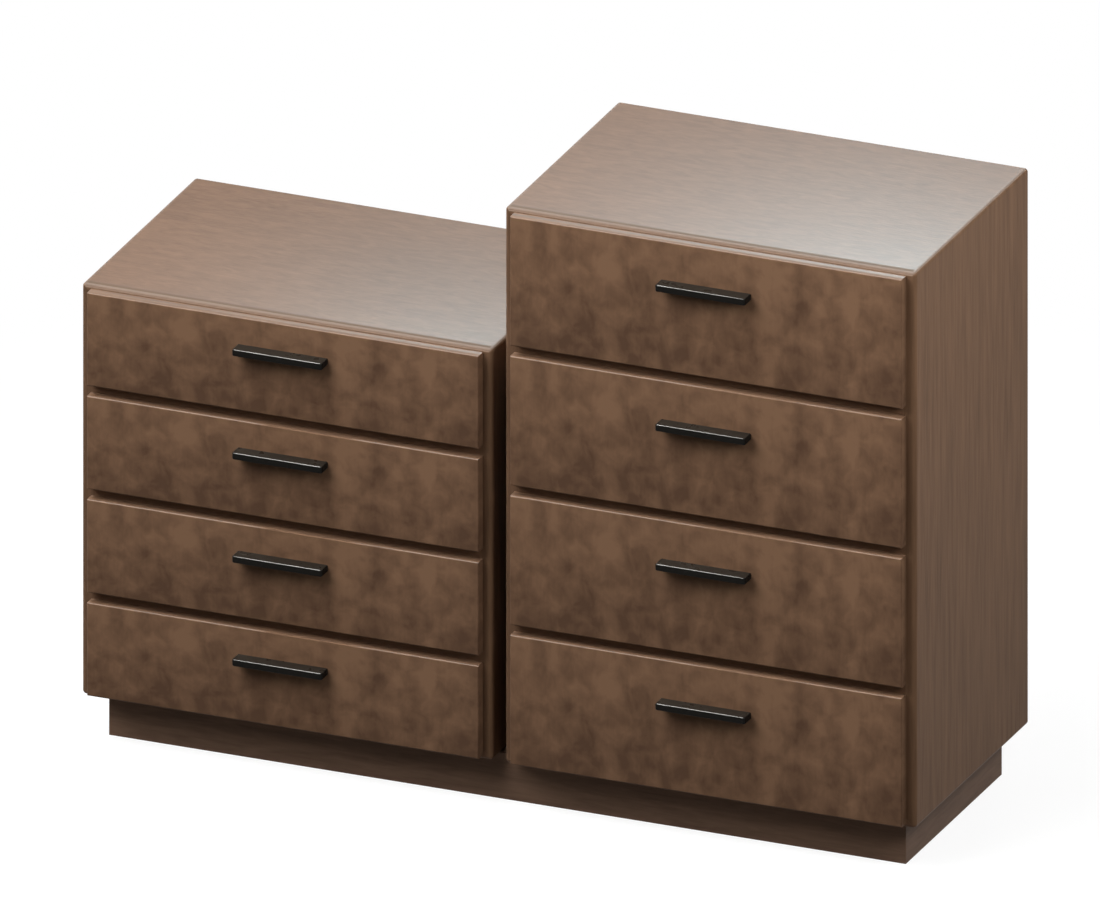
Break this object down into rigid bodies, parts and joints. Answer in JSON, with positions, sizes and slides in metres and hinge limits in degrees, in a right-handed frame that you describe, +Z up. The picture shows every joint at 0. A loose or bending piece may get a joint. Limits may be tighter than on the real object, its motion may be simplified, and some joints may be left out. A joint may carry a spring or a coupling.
{
  "type": "chest of drawers",
  "caption": "Low and tall slab-sided drawer cabinets side by side on one recessed plinth, with overlay fronts on sliding dovetailed boxes and black bar pulls.",
  "frame": {"origin": "middle of the whole footprint, handles included, on the floor", "axes": "+X to the right as seen from the front, +Y to the back, +Z up; the drawers open towards -Y"},
  "size_m": [1.218, 0.4344, 0.881],
  "materials": {
    "carcass_veneer": "dark walnut veneer, satin lacquer",
    "front_veneer": "dark figured walnut veneer, satin lacquer",
    "plinth_veneer": "dark walnut, matt lacquer",
    "back_panel_veneer": "plain dark veneered panel, matt",
    "frame_wood": "plain pale hardwood, unfinished",
    "drawer_wood": "pale hardwood, thin matt lacquer",
    "drawer_panel": "pale plywood, thin matt lacquer",
    "handle_metal": "black satin coating"
  },
  "bodies": {
    "carcass": {"low_top": "carcass_veneer", "low_bottom": "carcass_veneer", "low_left_side": "carcass_veneer", "low_right_side": "carcass_veneer", "low_back": "back_panel_veneer", "low_front_rails": "carcass_veneer", "low_runners": "frame_wood", "tall_top": "carcass_veneer", "tall_bottom": "carcass_veneer", "tall_left_side": "carcass_veneer", "tall_right_side": "carcass_veneer", "tall_back": "back_panel_veneer", "tall_front_rails": "carcass_veneer", "tall_runners": "frame_wood", "mitre_splines": "frame_wood", "plinth_front": "plinth_veneer", "plinth_back": "plinth_veneer", "plinth_ends": "plinth_veneer", "plinth_cross_rails": "frame_wood", "plinth_glue_blocks": "frame_wood"},
    "low_drawer_1": {"low_drawer_1_front": "front_veneer", "low_drawer_1_sides": "drawer_wood", "low_drawer_1_ends": "drawer_wood", "low_drawer_1_bottom": "drawer_panel", "low_drawer_1_handle": "handle_metal"},
    "low_drawer_2": {"low_drawer_2_front": "front_veneer", "low_drawer_2_sides": "drawer_wood", "low_drawer_2_ends": "drawer_wood", "low_drawer_2_bottom": "drawer_panel", "low_drawer_2_handle": "handle_metal"},
    "low_drawer_3": {"low_drawer_3_front": "front_veneer", "low_drawer_3_sides": "drawer_wood", "low_drawer_3_ends": "drawer_wood", "low_drawer_3_bottom": "drawer_panel", "low_drawer_3_handle": "handle_metal"},
    "low_drawer_4": {"low_drawer_4_front": "front_veneer", "low_drawer_4_sides": "drawer_wood", "low_drawer_4_ends": "drawer_wood", "low_drawer_4_bottom": "drawer_panel", "low_drawer_4_handle": "handle_metal"},
    "tall_drawer_1": {"tall_drawer_1_front": "front_veneer", "tall_drawer_1_sides": "drawer_wood", "tall_drawer_1_ends": "drawer_wood", "tall_drawer_1_bottom": "drawer_panel", "tall_drawer_1_handle": "handle_metal"},
    "tall_drawer_2": {"tall_drawer_2_front": "front_veneer", "tall_drawer_2_sides": "drawer_wood", "tall_drawer_2_ends": "drawer_wood", "tall_drawer_2_bottom": "drawer_panel", "tall_drawer_2_handle": "handle_metal"},
    "tall_drawer_3": {"tall_drawer_3_front": "front_veneer", "tall_drawer_3_sides": "drawer_wood", "tall_drawer_3_ends": "drawer_wood", "tall_drawer_3_bottom": "drawer_panel", "tall_drawer_3_handle": "handle_metal"},
    "tall_drawer_4": {"tall_drawer_4_front": "front_veneer", "tall_drawer_4_sides": "drawer_wood", "tall_drawer_4_ends": "drawer_wood", "tall_drawer_4_bottom": "drawer_panel", "tall_drawer_4_handle": "handle_metal"}
  },
  "joints": [
    {"name": "low_drawer_1_slide", "type": "slide", "parent": "carcass", "child": "low_drawer_1", "axis": [0, -1, 0], "range_m": [0, 0.27]},
    {"name": "low_drawer_2_slide", "type": "slide", "parent": "carcass", "child": "low_drawer_2", "axis": [0, -1, 0], "range_m": [0, 0.27]},
    {"name": "low_drawer_3_slide", "type": "slide", "parent": "carcass", "child": "low_drawer_3", "axis": [0, -1, 0], "range_m": [0, 0.27]},
    {"name": "low_drawer_4_slide", "type": "slide", "parent": "carcass", "child": "low_drawer_4", "axis": [0, -1, 0], "range_m": [0, 0.27]},
    {"name": "tall_drawer_1_slide", "type": "slide", "parent": "carcass", "child": "tall_drawer_1", "axis": [0, -1, 0], "range_m": [0, 0.27]},
    {"name": "tall_drawer_2_slide", "type": "slide", "parent": "carcass", "child": "tall_drawer_2", "axis": [0, -1, 0], "range_m": [0, 0.27]},
    {"name": "tall_drawer_3_slide", "type": "slide", "parent": "carcass", "child": "tall_drawer_3", "axis": [0, -1, 0], "range_m": [0, 0.27]},
    {"name": "tall_drawer_4_slide", "type": "slide", "parent": "carcass", "child": "tall_drawer_4", "axis": [0, -1, 0], "range_m": [0, 0.27]}
  ]
}
